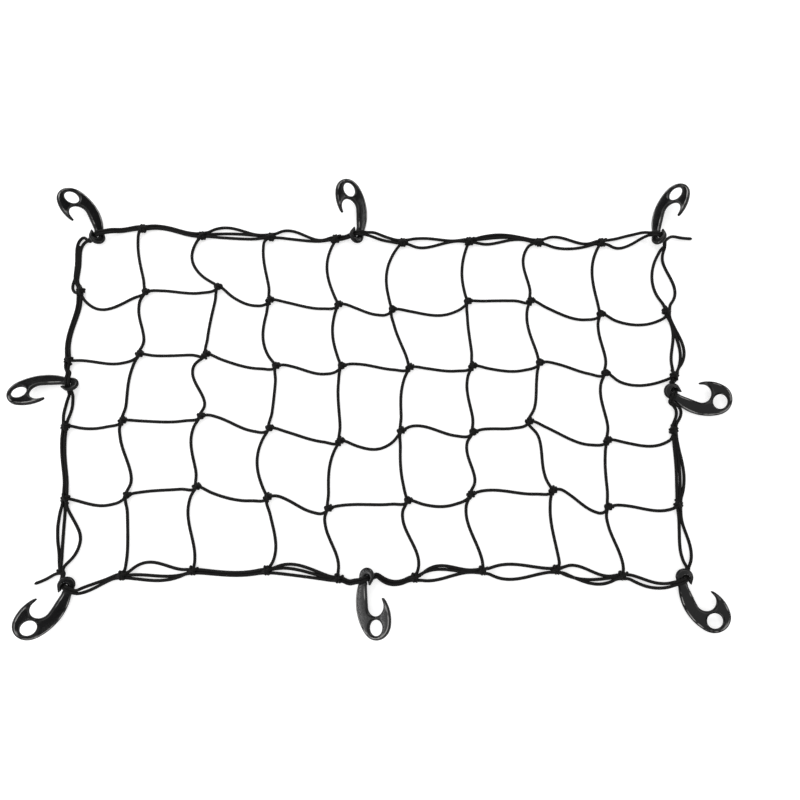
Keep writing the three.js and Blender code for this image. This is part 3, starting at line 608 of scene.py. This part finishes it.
mesh_skins = []
for column, bows in COLUMN_BOWS.items():
    knots = [knot_place(row, column) for row in ROW_BOWS]
    ends = meet("T", column), meet("B", column)
    way = mesh_cord(ends, knots, SIDES["R"]["out"], bows, COLUMN_COMES, COLUMN_LEAVES)
    mesh_skins.append(cord_skin(facing(way)))
for row, bows in ROW_BOWS.items():
    knots = [knot_place(row, column) for column in COLUMN_BOWS]
    ends = meet("L", row), meet("R", row)
    way = mesh_cord(ends, knots, SIDES["T"]["out"], bows, ROW_COMES, ROW_LEAVES)
    mesh_skins.append(cord_skin(facing(way)))
cord_piece("mesh_cords", mesh_skins, ["mesh_net"])

# Knots: where two mesh cords cross, both are tied in one overhand knot, pulled tight. On the border the end of a
# mesh cord is wound round the strands and tucked under itself.
KNOT_STEP = 0.9
KNOT_CORD = 1.85                             # radius of the cord where a knot squeezes it
# Each kind of knot: its windings, the strand laid over them, and the scale of the whole. A mesh knot has two
# windings, each so far from its middle
MESH_KNOT = dict(turns=1.15, pitch=5.6, across=4.2, high=2.3, drawn_in=0.1)
MESH_KNOT_OVER = dict(long=9.5, high=2.9, dip=2.0)
MESH_KNOT_APART, MESH_KNOT_SIZE = 1.7, 1.14
BORDER_KNOT = dict(turns=2.6, pitch=3.3, across=5.0, high=2.9, drawn_in=0.2)
BORDER_KNOT_OVER = dict(long=13, high=4.0, dip=0.6)
BORDER_KNOT_SIZE = 1.12
END_KNOT = dict(turns=1.6, pitch=4.2, across=3.0, high=1.8, drawn_in=0.3)
END_KNOT_OVER = dict(long=9, high=2.2, dip=1.0)
END_KNOT_PLACE, END_KNOT_SIZE = np.array([-441.5, -251, 0]), 1.05


def wrap(start, shift, turns, pitch, across, high, drawn_in):
    """Turns of a knot about its axis: a helix on an ellipse so wide and high, drawn towards the core at its ends;
    rows of (along the axis, across it, up)."""
    t = np.linspace(0, 1, 80)
    swell = drawn_in + (1 - drawn_in) * smoothstep(np.minimum(t, 1 - t) / 0.16)
    angle = math.radians(start) + 2 * math.pi * turns * t
    return np.column_stack([
        shift + (t - 0.5) * pitch * turns, across * swell * np.cos(angle), high * swell * np.sin(angle)])


def over(slant, long, high, dip):
    """Strand laid over a knot from end to end: a half wave up and down along the axis, slanting across it."""
    t = np.linspace(0, 1, 40)
    return np.column_stack([long * (t - 0.5), slant * (t - 0.5), (high + dip) * np.sin(math.pi * t) ** 0.7 - dip])


def knot_skins(ways, middle, turn, size):
    """Skins of a knot's strands, turned about the vertical by so many degrees and laid on the floor."""
    turn = math.radians(turn)
    axis = np.array([math.cos(turn), math.sin(turn), 0])
    aside = np.array([-math.sin(turn), math.cos(turn), 0])
    lowest = min(way[:, 2].min() for way in ways)
    skins = []
    for way in ways:
        placed = size * (way[:, :1] * axis + way[:, 1:2] * aside) + middle
        placed[:, 2] = size * (way[:, 2] - lowest + KNOT_CORD)
        upward = aside if np.ptp(way[:, 1]) < np.ptp(way[:, 0]) else axis
        skins.append(cord_skin(facing(placed, upward), radius=size * KNOT_CORD, step=size * KNOT_STEP))
    return skins


mesh_knot_skins, border_knot_skins = [], []
for row in ROW_BOWS:
    for column in COLUMN_BOWS:
        lean = math.sin(2.3 * row + 1.7 * column)      # every knot is tied a little differently
        ways = [
            wrap(200 + 30 * lean, -MESH_KNOT_APART, **MESH_KNOT),
            wrap(180 + 30 * lean, MESH_KNOT_APART, **MESH_KNOT),
            over(3 + 2 * lean, **MESH_KNOT_OVER),
        ]
        mesh_knot_skins += knot_skins(ways, knot_place(row, column), 45 + 16 * lean, MESH_KNOT_SIZE)
for name, place in stations.items():
    lean = math.sin(3.1 * int(name[1]) + ord(name[0]))
    side = SIDES[name[0]]
    turn = math.degrees(math.atan2(side["way"][1], side["way"][0])) + 8 * lean
    ways = [wrap(150 + 40 * lean, 0, **BORDER_KNOT), over(5 + 4 * lean, **BORDER_KNOT_OVER)]
    border_knot_skins += knot_skins(ways, place - side["out"], turn, BORDER_KNOT_SIZE)
ways = [wrap(200, 0, **END_KNOT), over(2, **END_KNOT_OVER)]
border_knot_skins += knot_skins(ways, END_KNOT_PLACE, 25, END_KNOT_SIZE)
cord_piece("mesh_knots", mesh_knot_skins)
cord_piece("border_knots", border_knot_skins)

# Floor, light and camera: a pale studio floor under large soft lights, seen from above the net and a little in
# front of it.
FLOOR_HALF, FLOOR_BELOW = 6.0, 0.0003        # half of the floor's side, and how far under the net it lies
floor_mesh = bpy.data.meshes.new("studio_floor")
floor_corners = [(x * FLOOR_HALF, y * FLOOR_HALF, -FLOOR_BELOW) for x, y in ((-1, -1), (1, -1), (1, 1), (-1, 1))]
floor_mesh.from_pydata(floor_corners, [], [(0, 1, 2, 3)])
floor = bpy.data.objects.new("studio_floor", floor_mesh)
bpy.context.scene.collection.objects.link(floor)
pale, nodes, links, shader = new_material("pale_floor")
shader.inputs["Roughness"].default_value = 0.9
shader.inputs["Base Color"].default_value = (0.7, 0.7, 0.7, 1)
shader.inputs["Emission Color"].default_value = (1, 1, 1, 1)
shader.inputs["Emission Strength"].default_value = 0.55
floor_mesh.materials.append(pale)

world = bpy.data.worlds.new("soft_room")
bpy.context.scene.world = world
world.use_nodes = True
room, links = world.node_tree.nodes, world.node_tree.links
room["Background"].inputs["Strength"].default_value = 1.0
direction = room.new("ShaderNodeTexCoord")
upward = room.new("ShaderNodeSeparateXYZ")
links.new(direction.outputs["Generated"], upward.inputs["Vector"])
walls = ramp(room, links, upward.outputs["Z"], (0.55, 0.14), (0.92, 1.1))     # dark walls, bright above the net
ray = room.new("ShaderNodeLightPath")
backdrop = blend(room, links, ray.outputs["Is Camera Ray"], walls, (1, 1, 1))     # past the floor all looks white
links.new(backdrop, room["Background"].inputs["Color"])
LIGHTS = (
    dict(name="soft_key", place=(-2.2, -0.4, 1.3), size=(1.2, 1.2), power=12),
    dict(name="soft_fill", place=(-0.4, 2.1, 1.5), size=(1.2, 1.2), power=26),
    dict(name="strip_left", place=(-1.9, -0.3, 0.75), size=(1.6, 0.08), power=8),
    dict(name="strip_right", place=(2.0, 0.3, 0.75), size=(1.6, 0.08), power=8),
    dict(name="strip_front", place=(0.1, -1.7, 0.7), size=(2.2, 0.08), power=8),
)
for row in LIGHTS:
    light = bpy.data.lights.new(row["name"], "AREA")
    light.shape, light.energy = "RECTANGLE", row["power"]
    light.size, light.size_y = row["size"]
    lamp = bpy.data.objects.new(row["name"], light)
    lamp.location = row["place"]
    lamp.rotation_euler = (-Vector(row["place"])).to_track_quat("-Z", "Y").to_euler()
    bpy.context.scene.collection.objects.link(lamp)
bpy.context.scene.view_settings.view_transform = "Standard"

camera_data = bpy.data.cameras.new("photo_camera")
camera_data.lens, camera_data.sensor_width = 33.26, 36
camera = bpy.data.objects.new("photo_camera", camera_data)
camera.location = (0.043, -0.2099, 1.0798)
camera.rotation_euler = (math.radians(11), 0, 0)
bpy.context.scene.collection.objects.link(camera)
bpy.context.scene.camera = camera
